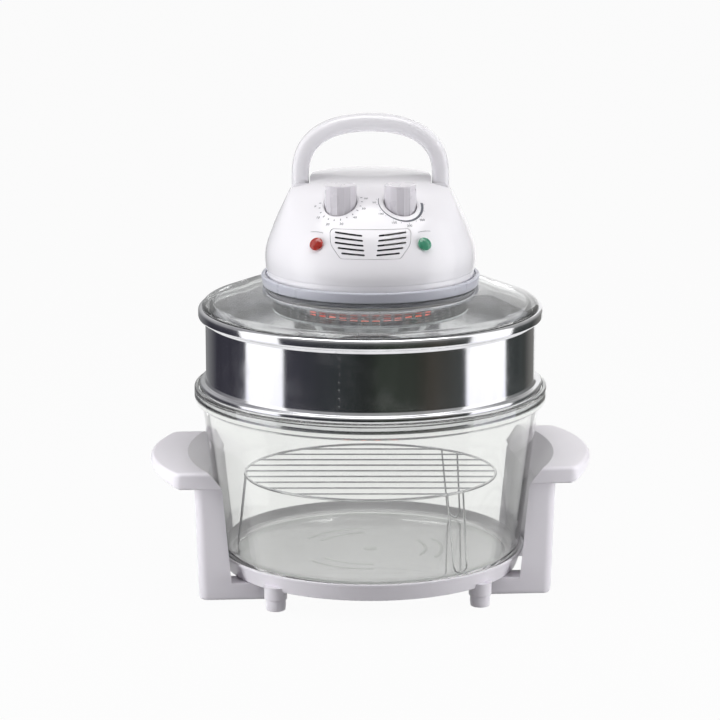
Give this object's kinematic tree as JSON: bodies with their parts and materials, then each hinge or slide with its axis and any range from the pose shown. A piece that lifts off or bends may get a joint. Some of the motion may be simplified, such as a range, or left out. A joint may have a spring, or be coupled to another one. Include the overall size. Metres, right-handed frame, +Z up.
{
  "type": "halogen convection oven",
  "caption": "Countertop halogen oven: glass bowl on a base with side handles, steel extender ring, wire rack, and a glass lid with a heater head, knobs and arched handle.",
  "frame": {"origin": "on the ground at the centre of the base, on the axis of the bowl", "axes": "+Z up; the controls face -Y; +X to the right of someone who faces the controls"},
  "size_m": [0.4318, 0.345, 0.4624],
  "materials": {
    "white_plastic": "smooth white",
    "grey_plastic": "satin pale grey",
    "glass": "clear, faintly green",
    "steel": "polished",
    "dark_steel": "dull",
    "black_plastic": "dull black",
    "red_lens": "clear red",
    "green_lens": "clear green",
    "ceramic": "unglazed white",
    "heater_tube": "quartz over a glowing wire",
    "silicone": "moulded"
  },
  "bodies": {
    "stand": {"base_tray": "white_plastic", "left_handle_frame": "white_plastic", "right_handle_frame": "white_plastic", "front_left_foot": "white_plastic", "front_right_foot": "white_plastic", "rear_left_foot": "white_plastic", "rear_right_foot": "white_plastic", "front_left_frame_screw": "steel", "front_right_frame_screw": "steel", "rear_left_frame_screw": "steel", "rear_right_frame_screw": "steel"},
    "bowl": {"glass_bowl": "glass"},
    "rack": {"wire_rack": "steel"},
    "ring": {"extender_ring": "steel"},
    "lid": {"glass_lid": "glass", "lid_gasket": "silicone", "collar": "white_plastic", "clamp_ring": "steel", "clamp_screw_1": "steel", "clamp_screw_2": "steel", "clamp_screw_3": "steel", "clamp_screw_4": "steel", "housing": "white_plastic", "vent_grille": "white_plastic", "housing_screw_1": "steel", "housing_screw_2": "steel", "housing_screw_3": "steel", "housing_screw_4": "steel", "power_lamp_lens": "red_lens", "power_lamp_holder": "black_plastic", "heat_lamp_lens": "green_lens", "heat_lamp_holder": "black_plastic", "heater_guard": "dark_steel", "reflector_plate": "steel", "halogen_tube": "heater_tube", "left_tube_holder": "ceramic", "right_tube_holder": "ceramic", "motor_plate": "steel", "motor": "dark_steel", "control_bracket": "steel", "timer": "black_plastic", "thermostat": "ceramic", "left_pivot_pin": "steel", "right_pivot_pin": "steel", "terminal_block": "black_plastic", "thermal_cutout": "ceramic", "safety_switch": "black_plastic", "cord_gland": "black_plastic"},
    "handle": {"carry_handle": "white_plastic"},
    "timer_knob": {"timer_knob": "grey_plastic", "timer_shaft": "steel"},
    "thermostat_knob": {"thermostat_knob": "grey_plastic", "thermostat_shaft": "steel"},
    "fan": {"motor_shaft": "steel", "circulation_fan": "steel", "fan_nut": "steel", "cooling_fan": "black_plastic"}
  },
  "joints": [
    {"name": "bowl_lift", "type": "slide", "parent": "stand", "child": "bowl", "axis": [0, 0, 1], "range_m": [0, 0.15]},
    {"name": "rack_lift", "type": "slide", "parent": "bowl", "child": "rack", "axis": [0, 0, 1], "range_m": [0, 0.12]},
    {"name": "ring_lift", "type": "slide", "parent": "bowl", "child": "ring", "axis": [0, 0, 1], "range_m": [0, 0.1]},
    {"name": "lid_lift", "type": "slide", "parent": "ring", "child": "lid", "axis": [0, 0, 1], "range_m": [0, 0.12]},
    {"name": "handle_fold", "type": "hinge", "parent": "lid", "child": "handle", "pos_m": [0, 0.014, 0.384], "axis": [-1, 0, 0], "range_deg": [0, 54]},
    {"name": "timer_turn", "type": "hinge", "parent": "lid", "child": "timer_knob", "pos_m": [-0.0284, -0.0437, 0.402], "axis": [0, 0, -1], "range_deg": [0, 300]},
    {"name": "thermostat_turn", "type": "hinge", "parent": "lid", "child": "thermostat_knob", "pos_m": [0.0284, -0.0437, 0.402], "axis": [0, 0, -1], "range_deg": [0, 270]},
    {"name": "fan_spin", "type": "hinge", "parent": "lid", "child": "fan", "pos_m": [0, 0, 0.33], "axis": [0, 0, 1], "continuous": true}
  ]
}
